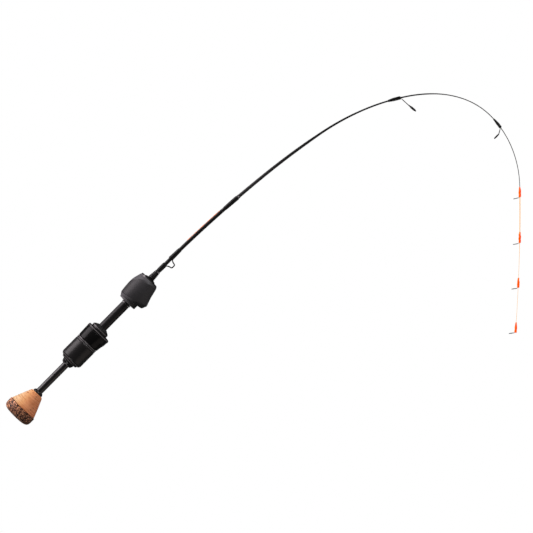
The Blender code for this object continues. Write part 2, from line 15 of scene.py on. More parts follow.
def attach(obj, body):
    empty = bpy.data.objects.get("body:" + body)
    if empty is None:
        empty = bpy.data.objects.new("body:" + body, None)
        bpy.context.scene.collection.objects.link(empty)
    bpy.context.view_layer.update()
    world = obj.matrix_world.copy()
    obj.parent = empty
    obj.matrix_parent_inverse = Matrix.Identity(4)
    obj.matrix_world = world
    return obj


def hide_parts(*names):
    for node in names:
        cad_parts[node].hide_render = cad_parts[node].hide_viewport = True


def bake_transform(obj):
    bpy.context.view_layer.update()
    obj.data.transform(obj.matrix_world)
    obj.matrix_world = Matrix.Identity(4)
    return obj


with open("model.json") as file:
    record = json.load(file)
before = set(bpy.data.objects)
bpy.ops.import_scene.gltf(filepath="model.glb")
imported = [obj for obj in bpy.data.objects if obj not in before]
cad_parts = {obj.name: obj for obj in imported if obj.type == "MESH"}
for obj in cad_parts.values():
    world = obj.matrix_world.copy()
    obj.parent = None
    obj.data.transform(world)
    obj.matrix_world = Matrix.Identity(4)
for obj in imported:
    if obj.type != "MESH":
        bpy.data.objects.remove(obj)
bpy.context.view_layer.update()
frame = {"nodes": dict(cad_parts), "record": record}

MM = 0.001
BODY_OF = {node: body for body, nodes in frame["record"]["behaviour"]["bodies"].items() for node in nodes}
SLOT_OF = {row["node"]: row["material_slot"] for row in frame["record"]["subparts"]}

# ---- driving dimensions: the CAD part's, with the blank's radii a little larger -----------------
ROD_LENGTH = 711.0
HANDLE_RISE = 45.3
BLANK_HEADINGS = (
    (175, HANDLE_RISE), (240, 42), (300, 39), (360, 34), (400, 23.5), (440, 11.5), (465, -1),
    (490, -19.5), (520, -47), (555, -70.5), (585, -89), (640, -91.5), (ROD_LENGTH, -94),
)
BLANK_RADII = (
    (120, 1.6), (250, 1.65), (262, 1.56), (300, 1.42), (335, 1.28), (345, 1.2), (352, 1.08), (362, 0.96),
    (400, 0.73), (431, 0.68), (445, 0.6), (458, 0.57), (472, 0.44), (490, 0.41), (531, 0.37), (585, 0.28),
)
ON_TUBE_R = 3.3
OVER_TUBE_R = 3.45
OVER_THREAD_R = 5.75
KNOB_R = 10.45
FLAT_TIP_REAR = 590.3
FLAT_TIP_HALVES = ((590, 0.34), (622, 0.3), (634, 0.16), (652, 0.11), (ROD_LENGTH, 0.1))
TIP_WRAPS = ((585.4, 594.2), (624.0, 633.6), (663.6, 672.2), (702.0, ROD_LENGTH))
# (body behind, body ahead, rear, front, where the bend starts)
BEND_STRETCHES = (
    ("handle", "first_guide", 262.3, 429.0, 360.0),
    ("first_guide", "second_guide", 429.0, 526.0, 429.0),
    ("second_guide", "tip", 526.0, FLAT_TIP_REAR - 0.3, 526.0),
)


# ---- the rod's centreline -----------------------------------------------------------------------
def between(table, station):
    """The value at a station, read from a table of (station, value)."""
    if station <= table[0][0]:
        return table[0][1]
    if station >= table[-1][0]:
        return table[-1][1]
    k = bisect.bisect_right([row[0] for row in table], station)
    (s0, v0), (s1, v1) = table[k - 1], table[k]
    return v0 + (v1 - v0) * (station - s0) / (s1 - s0)


def heading(station):
    return math.radians(between(BLANK_HEADINGS, station))


def trace_centreline(step):
    """Points of the centreline, one every step millimetres."""
    points = [Vector((0, 0, 0))]
    for k in range(int(ROD_LENGTH / step) + 1):
        angle = heading((k + 0.5) * step)
        points.append(points[-1] + step * Vector((math.cos(angle), 0, math.sin(angle))))
    return points


TRACE_STEP = 0.5
CENTRELINE = trace_centreline(TRACE_STEP)


def frame_at(station):
    """(point, direction of the reel side, direction to the tip) at a station."""
    k = min(max(int(station / TRACE_STEP), 0), len(CENTRELINE) - 2)
    point = CENTRELINE[k].lerp(CENTRELINE[k + 1], station / TRACE_STEP - k)
    angle = heading(station)
    forward = Vector((math.cos(angle), 0, math.sin(angle)))
    reel_side = Vector((math.sin(angle), 0, -math.cos(angle)))
    return point, reel_side, forward


def place(station, x, y, along=0.0):
    """A point at x towards the reel side and y sideways from the centreline."""
    point, reel_side, forward = frame_at(station)
    return point + reel_side * x + Vector((0, y, 0)) + forward * along


# ---- cross sections: functions of the angle from the reel side, giving (x, y) --------------------
def disc(r):
    return lambda angle: (r * math.cos(angle), r * math.sin(angle))


def egg(top, reel, side):
    """An oval with its own reach on the top, the reel side and to either side."""
    sharpness = 6

    def section(angle):
        towards_reel = 0.5 + 0.5 * math.tanh(sharpness * math.cos(angle))
        return math.cos(angle) * (top + (reel - top) * towards_reel), math.sin(angle) * side

    return section


def flared(top, reel):
    """A disc that swells smoothly towards the reel side."""

    def section(angle):
        r = top + (reel - top) * max(0.0, math.cos(angle)) ** 2
        return r * math.cos(angle), r * math.sin(angle)

    return section


def pocketed(r, reach):
    """A disc with a flat-bottomed pocket out to reach on the reel side."""
    edge, shoulder = math.radians(37.5), math.radians(12)

    def section(angle):
        off = abs(math.remainder(angle, 2 * math.pi))
        out = r + (reach - r) * min(1.0, max(0.0, (edge - off) / shoulder))
        return out * math.cos(angle), out * math.sin(angle)

    return section


def strip(half_thickness, half_width):
    """A flat strip with rounded edges."""
    roundness = 0.6

    def section(angle):
        x = math.copysign(abs(math.cos(angle)) ** roundness, math.cos(angle))
        y = math.copysign(abs(math.sin(angle)) ** roundness, math.sin(angle))
        return half_thickness * x, half_width * y

    return section


# ---- mesh building ------------------------------------------------------------------------------
def add_object(name, data):
    made = bpy.data.objects.new(name, data)
    bpy.context.collection.objects.link(made)
    return made


def make_piece(name, points, faces, rod):
    """A closed mesh from points in millimetres; rod holds each one's (station, x, y) for materials."""
    mesh = bpy.data.meshes.new(name)
    mesh.from_pydata([p * MM for p in points], [], faces)
    mesh.validate()
    attribute = mesh.attributes.new("rod", "FLOAT_VECTOR", "POINT")
    attribute.data.foreach_set("vector", [c for p in rod for c in p])
    volume = 0.0
    for face in mesh.polygons:
        corners = [mesh.vertices[v].co for v in face.vertices]
        for a, b in zip(corners[1:], corners[2:]):
            volume += corners[0].cross(a).dot(b)
    if volume < 0:
        mesh.flip_normals()
    mesh.shade_smooth()
    return add_object(name, mesh)


def soften(line, edge, closed):
    """Rounds every corner of a line of points with a short curve that starts edge away from it."""
    most_of_side = 0.42
    soft = []
    for k, corner in enumerate(line):
        if not closed and k in (0, len(line) - 1):
            soft.append(corner)
            continue
        to_last = line[k - 1] - corner
        to_next = line[(k + 1) % len(line)] - corner
        start = corner + to_last.normalized() * min(edge, most_of_side * to_last.length)
        end = corner + to_next.normalized() * min(edge, most_of_side * to_next.length)
        for t in (0, 1 / 3, 2 / 3, 1):
            soft.append(start * (1 - t) ** 2 + corner * (2 * t * (1 - t)) + end * t * t)
    return soft


def turned(name, profile, sides=96, closed=True, edge=0.15, step=1.5, relief=None):
    """A piece carried round the rod from an outline of (station, section).

    A section is a radius or a function of the angle, and a station may be three, (on the top, at the
    sides, on the reel side), for an edge that leans. Corners are rounded by edge, and long stretches
    are divided to step. relief gives how far a point stands out, from its station, angle and radius.
    """
    columns = []
    for k in range(sides):
        angle = 2 * math.pi * k / sides
        line = []
        for station, section in profile:
            x, y = disc(section)(angle) if isinstance(section, (int, float)) else section(angle)
            top, side, reel = station if isinstance(station, tuple) else (station, station, station)
            lean, bow = (reel - top) / 2, (reel + top) / 2 - side
            line.append(Vector((side + lean * math.cos(angle) + bow * math.cos(angle) ** 2, x, y)))
        columns.append(soften(line, edge, closed))
    spans = len(columns[0]) if closed else len(columns[0]) - 1
    counts = [
        max(1, math.ceil((columns[0][(n + 1) % len(columns[0])] - columns[0][n]).length / step))
        for n in range(spans)
    ]
    rings = []
    for n, count in enumerate(counts):
        for part in range(count):
            rings.append([c[n].lerp(c[(n + 1) % len(c)], part / count) for c in columns])
    if not closed:
        rings.append([c[-1] for c in columns])
    points, rod, loops = [], [], []
    for ring in rings:
        at_axis = max(math.hypot(p.y, p.z) for p in ring) < 1e-6
        loop = []
        for k, p in enumerate(ring[:1] if at_axis else ring):
            r = math.hypot(p.y, p.z)
            if relief and r > 0:
                p = p + Vector((0, p.y, p.z)) * (relief(p.x, 2 * math.pi * k / sides, r) / r)
            loop.append(len(points))
            points.append(place(p.x, p.y, p.z))
            rod.append(p)
        loops.append(loop)
    faces = []
    for a, b in zip(loops, loops[1:] + loops[:1] if closed else loops[1:]):
        for k in range(sides):
            n = (k + 1) % sides
            if len(a) == 1:
                faces.append((a[0], b[k], b[n]))
            elif len(b) == 1:
                faces.append((a[n], a[k], b[0]))
            else:
                faces.append((a[k], b[k], b[n], a[n]))
    piece = make_piece(name, points, faces, rod)
    weighted = piece.modifiers.new("weighted_normals", "WEIGHTED_NORMAL")
    weighted.weight = 80
    return piece


def stations_between(start, end, step):
    """Evenly spaced stations from start to end, no further apart than step."""
    count = max(1, math.ceil((end - start) / step))
    return [start + (end - start) * k / count for k in range(count + 1)]


def swept(name, path, sizes, sides):
    """A bar along path, a list of (station, x) in the bend plane, with a (half height, half width) each."""
    spots = [place(station, x, 0) for station, x in path]
    points, rod, loops = [], [], []
    for k, spot in enumerate(spots):
        ahead = (spots[min(k + 1, len(spots) - 1)] - spots[max(k - 1, 0)]).normalized()
        up = Vector((ahead.z, 0, -ahead.x))
        height, width = sizes[k]
        loop = []
        for n in range(sides):
            angle = 2 * math.pi * (n + 0.5) / sides
            loop.append(len(points))
            points.append(spot + up * height * math.cos(angle) + Vector((0, width * math.sin(angle), 0)))
            rod.append((path[k][0], path[k][1] + height * math.cos(angle), width * math.sin(angle)))
        loops.append(loop)
    faces = [tuple(loops[0]), tuple(reversed(loops[-1]))]
    for a, b in zip(loops, loops[1:]):
        faces += [(a[k], b[k], b[(k + 1) % sides], a[(k + 1) % sides]) for k in range(sides)]
    return smoothed(make_piece(name, points, faces, rod))


def smoothed(piece, levels=2):
    """The piece with its mesh subdivided."""
    smooth = piece.modifiers.new("smooth", "SUBSURF")
    smooth.levels = levels
    smooth.render_levels = levels
    return piece


# ---- surface relief -----------------------------------------------------------------------------
def pitted(pits, depth, lump):
    """Open pores and a slight unevenness, for cork."""
    shortened, pore_level, steepness = 1.7, 0.28, 4
    cluster_scale, cluster_level, lump_scale = 0.21, 0.75, 0.35

    def relief(station, angle, r):
        spot = Vector((station, r * math.cos(angle), r * math.sin(angle)))
        stretched = Vector((spot.x * shortened, spot.y, spot.z)) * pits
        cluster = max(0.0, noise.noise(spot * cluster_scale) + cluster_level)
        pore = max(0.0, noise.noise(stretched) - pore_level) * cluster
        return lump * noise.noise(spot * lump_scale) - depth * min(1.0, steepness * pore)

    return relief


def threaded(pitch, height, lumps, lump_length=3.0):
    """Turns of thread under a coat of epoxy, which lies unevenly over them."""
    round_scale = 0.4

    def relief(station, angle, r):
        turn = station / pitch - angle / (2 * math.pi)
        across, aside = math.cos(angle) * round_scale, math.sin(angle) * round_scale
        coat = noise.noise(Vector((station / lump_length, across, aside)))
        return height * abs(math.sin(math.pi * turn)) + lumps * coat

    return relief


# ---- materials ----------------------------------------------------------------------------------
# painted highlights: the light colour that painted rings and glints are lightened towards
PAINTED_HIGHLIGHT_COLOUR = (0.42, 0.385, 0.4, 1)
# painted shade: the near black laid on the foregrip's front chamfer, which faces away from the light
CHAMFER_SHADE_COLOUR = (0.006, 0.0056, 0.006, 1)
PIT_COLOUR = (0.4, 0.13, 0.07, 1)

# creases of the foregrip, as (a, b, c) for Look.past, where its painted highlight bands and the painted
# shade on its front chamfer begin, and the painted glint on its front edge
FRONT_CREASE = (161.8, 0.12, -0.087)
FRONT_CHAMFER = (164.15, 0, 0)
REAR_CREASE = (143.1, 0.243, 0)
BOW_START = -2.0
FRONT_GLINT = (164.2, 0.9, 1.2, -5.7, 1.6)


class Look:
    """A procedural material. Its textures read the rod attribute, so their scales are per millimetre."""

    def __init__(self, name, roughness=0.5, **sockets):
        self.material = bpy.data.materials.new(name)
        self.material.use_nodes = True
        self.tree = self.material.node_tree
        self.shader = self.tree.nodes["Principled BSDF"]
        self.shader.inputs["Roughness"].default_value = roughness
        for socket, value in sockets.items():
            self.shader.inputs[socket.replace("_", " ")].default_value = value
        self.rod = self.node("ShaderNodeAttribute", attribute_name="rod").outputs["Vector"]

    def node(self, kind, inputs=(), **settings):
        made = self.tree.nodes.new(kind)
        for key, value in settings.items():
            setattr(made, key, value)
        for key, value in dict(inputs).items():
            if isinstance(value, bpy.types.NodeSocket):
                self.tree.links.new(value, made.inputs[key])
            else:
                made.inputs[key].default_value = value
        return made

    def from_object(self):
        """Reads places from the object instead, in millimetres, for a CAD mesh."""
        self.rod = self.node("ShaderNodeTexCoord").outputs["Object"]
        self.rod = self.stretched((1 / MM, 1 / MM, 1 / MM))
        return self

    def stretched(self, scale):
        """The places that textures read, scaled by (along, x, y)."""
        return self.node("ShaderNodeMapping", {"Vector": self.rod, "Scale": scale}).outputs[0]

    def noise(self, scale, detail=3.0, stretch=(1, 1, 1)):
        settings = {"Vector": self.stretched(stretch), "Scale": scale, "Detail": detail}
        return self.node("ShaderNodeTexNoise", settings).outputs[0]

    def calc(self, operation, *values):
        """The output of one math node."""
        return self.node("ShaderNodeMath", dict(enumerate(values)), operation=operation).outputs[0]

    def remap(self, value, **limits):
        """A value carried from one range to another, with limits named after the node's sockets."""
        sockets = {name.replace("_", " "): limit for name, limit in limits.items()}
        return self.node("ShaderNodeMapRange", {"Value": value, **sockets}).outputs[0]

    def ramp(self, factor, stops, interpolation="LINEAR"):
        made = self.node("ShaderNodeValToRGB", {"Fac": factor})
        ramp = made.color_ramp
        ramp.interpolation = interpolation
        while len(ramp.elements) < len(stops):
            ramp.elements.new(1.0)
        for element, (position, colour) in zip(ramp.elements, stops):
            element.position = position
            element.color = (*colour, 1.0)
        return made.outputs["Color"]

    def mix(self, factor, a, b, blend="MIX"):
        made = self.node("ShaderNodeMix", data_type="RGBA", blend_type=blend)
        for socket, value in zip((made.inputs[0], made.inputs[6], made.inputs[7]), (factor, a, b)):
            if isinstance(value, bpy.types.NodeSocket):
                self.tree.links.new(value, socket)
            else:
                socket.default_value = value
        return made.outputs[2]

    def near(self, value, where, half, strength):
        """Strength where the value is at `where`, falling to nothing at half either side of it."""
        off = self.calc("ABSOLUTE", self.calc("SUBTRACT", value, where))
        return self.remap(off, From_Max=half, To_Min=strength, To_Max=0.0)

    def past(self, crease, side):
        """Rises from 0 to 1 over `side`, from a crease at a + b x + c (x - BOW_START)^2.

        The bow, c, acts only on the top side of BOW_START.
        """
        a, b, c = crease
        station, x, _ = self.node("ShaderNodeSeparateXYZ", {"Vector": self.rod}).outputs
        above = self.calc("MINIMUM", self.calc("SUBTRACT", x, BOW_START), 0.0)
        line = self.calc("MULTIPLY_ADD", x, b, a)
        line = self.calc("MULTIPLY_ADD", self.calc("MULTIPLY", above, above), c, line)
        return self.remap(self.calc("SUBTRACT", station, line), From_Min=0.0, From_Max=side)

    def along_x(self, low, high, stops):
        """A colour ramp over the rod's x, from low to high."""
        _, x, _ = self.node("ShaderNodeSeparateXYZ", {"Vector": self.rod}).outputs
        return self.ramp(self.remap(x, From_Min=low, From_Max=high), stops)

    def paint_highlights(self, tone, painted_highlights):
        """Painted highlights: lightens narrow rings of (station, half width, strength), or spots, which add
        (x, half width), towards a light colour.
        """
        if not painted_highlights:
            return tone
        station, x, _ = self.node("ShaderNodeSeparateXYZ", {"Vector": self.rod}).outputs
        total = 0.0
        for where, half, strength, *spot in painted_highlights:
            ring = self.near(station, where, half, strength)
            if spot:
                ring = self.calc("MULTIPLY", ring, self.near(x, *spot, 1.0))
            total = self.calc("MAXIMUM", total, ring)
        return self.mix(total, tone, PAINTED_HIGHLIGHT_COLOUR)

    def colour(self, socket):
        self.tree.links.new(socket, self.shader.inputs["Base Color"])

    def roughness(self, factor, low, high):
        spread = self.remap(factor, To_Min=low, To_Max=high)
        self.tree.links.new(spread, self.shader.inputs["Roughness"])

    def bump(self, *layers):
        """Layers of (height socket, height in millimetres), one over another; returns the material."""
        normal = None
        for factor, height in layers:
            settings = {"Height": factor, "Strength": 1.0, "Distance": height * MM}
            if normal:
                settings["Normal"] = normal
            normal = self.node("ShaderNodeBump", settings).outputs[0]
        self.tree.links.new(normal, self.shader.inputs["Normal"])
        return self.material


def shade(colour, amount):
    return tuple(min(1.0, c * amount) for c in colour)


def plastic(name, colour, low, high, grain, depth, blotch=0.12, on_cad=False, painted_highlights=(), **sockets):
    """A moulded or painted surface: fine grain, and a slight drift in its colour and gloss.

    Roughness lies between low and high. The grain has a scale and a depth in millimetres, the colour
    drifts by the share blotch, and the listed rings and spots are painted highlights, as a Look paints
    them.
    """
    look = Look(name, **sockets)
    if on_cad:
        look.from_object()
    drift = look.noise(0.35, 4.0)
    tone = look.ramp(drift, ((0.25, shade(colour, 1 - blotch)), (0.75, shade(colour, 1 + blotch))))
    look.colour(look.paint_highlights(tone, painted_highlights))
    look.roughness(look.noise(1.4, 5.0), low, high)
    return look.bump((look.noise(grain, 4.0), depth))


def grip_look(name):
    """Soft-touch foam grip: painted highlight bands past each crease, light at the top and dark towards the
    reel side, painted shade on the front chamfer, and a painted glint.
    """
    look = Look(name, Specular_IOR_Level=0.3)
    drift = look.noise(0.35, 4.0)
    base = (0.042, 0.0402, 0.0435)
    tone = look.ramp(drift, ((0.25, shade(base, 0.94)), (0.75, shade(base, 1.06))))
    # painted highlight and shade: past the front crease, light at the top and fading dark towards the reel
    # side
    front = look.along_x(
        -10, 10, ((0.0, (0.11, 0.106, 0.115)), (0.5, (0.085, 0.082, 0.088)), (1.0, (0.04, 0.0385, 0.04)))
    )
    tone = look.mix(look.past(FRONT_CREASE, 0.6), tone, front)
    # painted shade: the front chamfer is made near black
    tone = look.mix(look.past(FRONT_CHAMFER, 0.4), tone, CHAMFER_SHADE_COLOUR)
    # a painted glint on the front edge
    tone = look.paint_highlights(tone, (FRONT_GLINT,))
    # painted highlight and shade: behind the rear crease, light at the top and dark towards the reel side
    rear = look.along_x(
        -10, 6, ((0.0, (0.17, 0.164, 0.176)), (0.55, (0.09, 0.087, 0.092)), (1.0, (0.025, 0.024, 0.025)))
    )
    look.colour(look.mix(look.past(REAR_CREASE, -0.6), tone, rear))
    look.roughness(look.noise(1.4, 5.0), 0.5, 0.54)
    return look.bump((look.noise(5.0, 4.0), 0.0025))


def cork_look():
    """Turned cork: rings of slightly different tone, small reddish-brown pits, and painted light, lighter
    and paler towards the top and deeper orange towards the reel side.
    """
    look = Look("cork_look", roughness=0.72, Specular_IOR_Level=0.25)
    body = look.noise(0.5, 6.0, (1.0, 0.8, 0.8))
    # painted light: lighter and paler towards the top, deeper orange towards the reel side
    painted_light_tint = look.along_x(
        -9.5, 9.5,
        (
            (0.0, (0.94, 0.62, 0.34)), (0.28, (0.94, 0.46, 0.19)), (0.5, (0.96, 0.385, 0.165)),
            (1.0, (0.96, 0.36, 0.17)),
        ),
    )
    vary = look.ramp(body, ((0.3, (0.9, 0.84, 0.8)), (0.52, (0.97, 0.96, 0.96)), (0.75, (1.0, 1.08, 1.12))))
    tone = look.mix(1.0, painted_light_tint, vary, "MULTIPLY")
    rings = look.noise(1.1, 3.0, (1.0, 0.05, 0.05))
    shadow = look.ramp(rings, ((0.38, (0.8, 0.67, 0.57)), (0.54, (1, 1, 1)), (0.75, (1.02, 1.04, 1.06))))
    tone = look.mix(1.0, tone, shadow, "MULTIPLY")
    cells = look.node("ShaderNodeTexVoronoi", {"Vector": look.stretched((1.5, 1.0, 1.0)), "Scale": 0.26})
    pit = look.calc("MULTIPLY", cells.outputs["Distance"], look.noise(0.9, 5.0))
    near = look.ramp(pit, ((0.06, (1, 1, 1)), (0.1, (0, 0, 0))))
    look.colour(look.mix(near, tone, PIT_COLOUR))
    look.roughness(body, 0.62, 0.8)
    return look.bump((body, 0.08), (look.noise(6.0, 5.0), 0.03))


def burl_look():
    """Ground cork and rubber pressed into a block: black flecks, and orange-brown ones, with painted light
    that makes them lighter towards the top.
    """
    look = Look("burl_cork_look", roughness=0.5, Specular_IOR_Level=0.2)
    warp = look.noise(1.1, 3.0)
    bent = look.node("ShaderNodeVectorMath", {0: look.rod, 1: warp}, operation="ADD").outputs[0]
    cells = look.node("ShaderNodeTexVoronoi", {"Vector": bent, "Scale": 1.25})
    pick = look.node("ShaderNodeSeparateColor", {"Color": cells.outputs["Color"]}).outputs[0]
    shades = (
        (0.0, (0.012, 0.0075, 0.006)), (0.25, (0.058, 0.028, 0.02)), (0.44, (0.2, 0.09, 0.057)),
        (0.64, (0.46, 0.21, 0.12)), (0.85, (0.9, 0.42, 0.22)),
    )
    tone = look.ramp(pick, shades, "CONSTANT")
    speckle = look.ramp(look.noise(2.6, 6.0), ((0.34, (0.35, 0.3, 0.26)), (0.66, (1.3, 1.2, 1.15))))
    tone = look.mix(0.6, tone, speckle, "MULTIPLY")
    # painted light: the flecks grow lighter towards the top
    side = look.along_x(
        -13, 8, ((0.0, (1.8, 1.85, 1.9)), (0.45, (1.15, 1.15, 1.2)), (0.7, (1.0, 1.0, 1.05)))
    )
    look.colour(look.mix(1.0, tone, side, "MULTIPLY"))
    look.roughness(look.noise(2.0, 4.0), 0.4, 0.6)
    return look.bump((cells.outputs["Distance"], 0.05), (look.noise(5.0, 4.0), 0.03))


def thread_look(name, dark, light, gloss, **sockets):
    """Thread under epoxy, lighter towards the reel side, with an uneven line between the two tones."""
    look = Look(name, roughness=gloss, **sockets)
    _, x, _ = look.node("ShaderNodeSeparateXYZ", {"Vector": look.rod}).outputs
    uneven = look.noise(0.8, 4.0)
    sided = look.calc("MULTIPLY_ADD", look.calc("ADD", uneven, -0.5), 1.6, x)
    look.colour(look.ramp(look.remap(sided, From_Min=-0.6, From_Max=1.3), ((0.35, dark), (0.95, light))))
    look.roughness(uneven, gloss * 0.8, gloss * 1.3)
    return look.bump((look.noise(7.0, 3.0), 0.003))


def carbon_look(name, colour, gloss, stretch, painted_highlights=()):
    """A clear-coated blank, with the faint spiral that its binding tape leaves, and any listed rings
    lightened as painted highlights.
    """
    look = Look(name, roughness=gloss, Specular_IOR_Level=0.22)
    spiral = look.node(
        "ShaderNodeTexWave", {"Vector": look.rod, "Scale": 0.35, "Distortion": 0.6, "Detail": 2.0},
        bands_direction="X",
    ).outputs[1]
    streak = look.noise(1.2, 5.0, stretch)
    tone = look.ramp(streak, ((0.3, shade(colour, 0.7)), (0.7, shade(colour, 1.35))))
    look.colour(look.paint_highlights(tone, painted_highlights))
    look.roughness(streak, gloss * 0.8, gloss * 1.3)
    return look.bump((spiral, 0.0015), (look.noise(5.0, 4.0), 0.001))


def metal_look(name, colour, low, high):
    """Brushed metal, for a CAD mesh."""
    look = Look(name, Metallic=1.0).from_object()
    brushed = look.noise(3.0, 5.0, (6.0, 0.6, 0.6))
    look.colour(look.ramp(look.noise(0.7, 4.0), ((0.3, shade(colour, 0.8)), (0.7, shade(colour, 1.15)))))
    look.roughness(brushed, low, high)
    return look.bump((brushed, 0.006))


# looks by material slot
LOOKS = {
    "burl_cork": burl_look(),
    "cork": cork_look(),
    # painted highlights: two thin light lines round the hood's front rim
    "gloss_black": plastic(
        "gloss_black_look", (0.006, 0.0056, 0.0058), 0.22, 0.24, 3.0, 0.0004,
        painted_highlights=((100.3, 0.3, 0.05), (101.75, 0.42, 0.5)), Specular_IOR_Level=0.13,
    ),
    "satin_black": plastic(
        "satin_black_look", (0.013, 0.0118, 0.0122), 0.36, 0.39, 4.0, 0.0008, Specular_IOR_Level=0.36
    ),
    "nylon": plastic("nylon_look", (0.07, 0.07, 0.07), 0.42, 0.55, 4.0, 0.02, on_cad=True),
    "steel": metal_look("steel_look", (0.62, 0.62, 0.63), 0.18, 0.32),
    "dark_metal": plastic(
        "dark_metal_look", (0.012, 0.0112, 0.0116), 0.3, 0.36, 3.0, 0.0005, Specular_IOR_Level=0.25
    ),
    "ceramic": plastic(
        "ceramic_look", (0.006, 0.006, 0.007), 0.14, 0.2, 3.0, 0.0005, Specular_IOR_Level=0.3
    ),
    "carbon": carbon_look("carbon_look", (0.007, 0.0066, 0.0066), 0.34, (0.12, 1.0, 1.0)),
    # painted highlight: a long faint lightening of the blank around its ferrule
    "grey_blank": carbon_look(
        "grey_blank_look", (0.009, 0.0086, 0.0086), 0.36, (0.08, 1.5, 1.5), painted_highlights=((270, 65, 0.055),)
    ),
    "black_thread": thread_look(
        "black_thread_look", (0.005, 0.005, 0.005), (0.011, 0.011, 0.0115), 0.34, Specular_IOR_Level=0.2
    ),
    # the orange thread glows a little: a painted glow, standing in for the extra brightness of fluorescent
    # thread
    "orange_thread": thread_look(
        "orange_thread_look", (1.0, 0.06, 0.001), (1.0, 0.3, 0.01), 0.6, Specular_IOR_Level=0.08,
        Emission_Color=(1.0, 0.1, 0.001, 1), Emission_Strength=0.5,
    ),
    # the pale orange glows a little: a painted glow that brightens the flat tip's orange paint
    "pale_orange": plastic(
        "pale_orange_look", (1.0, 0.42, 0.01), 0.5, 0.6, 3.0, 0.0005, 0.06, Specular_IOR_Level=0.1,
        Emission_Color=(1.0, 0.42, 0.001, 1), Emission_Strength=0.45,
    ),
    "tape": plastic("tape_look", (0.5, 0.46, 0.38), 0.65, 0.8, 3.0, 0.06, on_cad=True),
}


# looks for single nodes, where they differ from the rest of their slot; their rings and spots are painted
# highlights and glints on bevels, rims and ribs
NODE_LOOKS = {
    "handle_tube": plastic("handle_tube_look", (0.011, 0.0095, 0.0098), 0.24, 0.26, 3.0, 0.0004),
    "seat_tube": plastic(
        "seat_tube_look", (0.013, 0.0118, 0.0122), 0.34, 0.37, 4.0, 0.0008, Specular_IOR_Level=0.2
    ),
    "lock_knob": plastic(
        "lock_knob_look", (0.013, 0.0118, 0.0122), 0.36, 0.39, 4.0, 0.0008,
        painted_highlights=((67.8, 0.4, 0.12), (68.6, 0.4, 0.5), (85.75, 0.2, 0.06)), Specular_IOR_Level=0.33,
    ),
    "knob_flange": plastic(
        "knob_flange_look", (0.01, 0.0092, 0.0096), 0.34, 0.37, 4.0, 0.0008,
        painted_highlights=((66.75, 0.45, 0.4),), Specular_IOR_Level=0.3,
    ),
    "knob_rear_bush": plastic(
        "knob_rear_bush_look", (0.008, 0.0074, 0.0076), 0.3, 0.34, 4.0, 0.0008,
        painted_highlights=((62.8, 0.5, 0.45),), Specular_IOR_Level=0.3,
    ),
    "trim_ring": plastic(
        "trim_ring_look", (0.02, 0.0185, 0.019), 0.3, 0.34, 3.0, 0.0005,
        painted_highlights=((86.85, 0.4, 0.24), (88.45, 0.42, 0.45), (88.45, 0.5, 0.9, -7.0, 2.5)),
        Specular_IOR_Level=0.5,
    ),
    "hood_saddle": plastic(
        "hood_saddle_look", (0.012, 0.011, 0.0114), 0.36, 0.39, 4.0, 0.0008,
        painted_highlights=((104.4, 0.55, 0.4),), Specular_IOR_Level=0.3,
    ),
    "seat_front_collar": plastic(
        "seat_front_collar_look", (0.014, 0.013, 0.013), 0.25, 0.3, 3.0, 0.0005,
        painted_highlights=((136.1, 0.9, 1.8, -2.7, 1.0),), Specular_IOR_Level=0.3,
    ),
    "front_saddle": grip_look("front_saddle_look"),
    "foregrip": grip_look("grip_look"),
    "front_check": plastic(
        "front_check_look", (0.005, 0.0046, 0.0048), 0.42, 0.46, 4.0, 0.0008, Specular_IOR_Level=0.1
    ),
    "ribbed_taper": plastic(
        "ribbed_taper_look", (0.01, 0.0092, 0.0096), 0.36, 0.4, 4.0, 0.0008,
        painted_highlights=tuple((167.6 + 1.52 * n, 0.42, 0.3, -2.6, 2.2) for n in range(5)), Specular_IOR_Level=0.25,
    ),
    "taper_trim_ring": plastic(
        "taper_trim_ring_look", (0.012, 0.011, 0.0114), 0.3, 0.36, 3.0, 0.0005,
        painted_highlights=((174.65, 1.0, 1.3, 0.5, 0.6),), Specular_IOR_Level=0.15,
    ),
    "ferrule_trim_ring": plastic(
        "ferrule_trim_ring_look", (0.03, 0.028, 0.0285), 0.3, 0.36, 3.0, 0.0005,
        painted_highlights=((269.7, 2.0, 2.2, 0.35, 0.8),), Specular_IOR_Level=0.25,
    ),
}


def dress(piece, node):
    """Gives a piece the slot and look of a CAD node."""
    piece.data.materials.append(NODE_LOOKS.get(node) or LOOKS[SLOT_OF[node]])


def put_in_place(piece, node):
    """Dresses a piece, and has it move with the CAD node's body and stand for that node."""
    dress(piece, node)
    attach(piece, BODY_OF[node])
    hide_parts(node)


def stand_in(node, profile, **shape):
    """A turned piece in place of a CAD node."""
    put_in_place(turned(f"{node}_finish", profile, **shape), node)


# ---- handle -------------------------------------------------------------------------------------
def build_butt():
    stand_in(
        "butt_cap",
        [
            (0, 0), (0, 7.0), (0.35, 9.6), (1.1, 11.7), (2.3, 13.0), (4.0, 13.65),
            (9.3, 13.76), (9.7, 13.4), (9.7, ON_TUBE_R), (5.0, ON_TUBE_R), (5.0, 0),
        ],
        sides=144, closed=False, edge=0.9, step=0.6, relief=pitted(0.8, 0.1, 0.05),
    )
    stand_in(
        "butt_cork",
        [
            (10.0, ON_TUBE_R), (10.0, 12.6), (10.35, 12.9), (18.0, 9.85), (26.3, 6.3),
            (27.0, 5.7), (27.5, 4.9), (27.5, ON_TUBE_R),
        ],
        sides=168, edge=0.35, step=0.4, relief=pitted(0.55, 0.22, 0.06),
    )
    stand_in(
        "butt_check",
        [
            (27.8, ON_TUBE_R), (27.8, 4.75), (28.5, 4.65), (29.2, 4.25), (29.9, 3.7), (29.9, ON_TUBE_R),
        ],
        edge=0.25, step=0.6,
    )
    stand_in(
        "handle_tube",
        [(5.4, 2.35), (5.4, 3.1), (163.0, 3.1), (163.0, 2.35)], edge=0.12, step=4.0,
    )


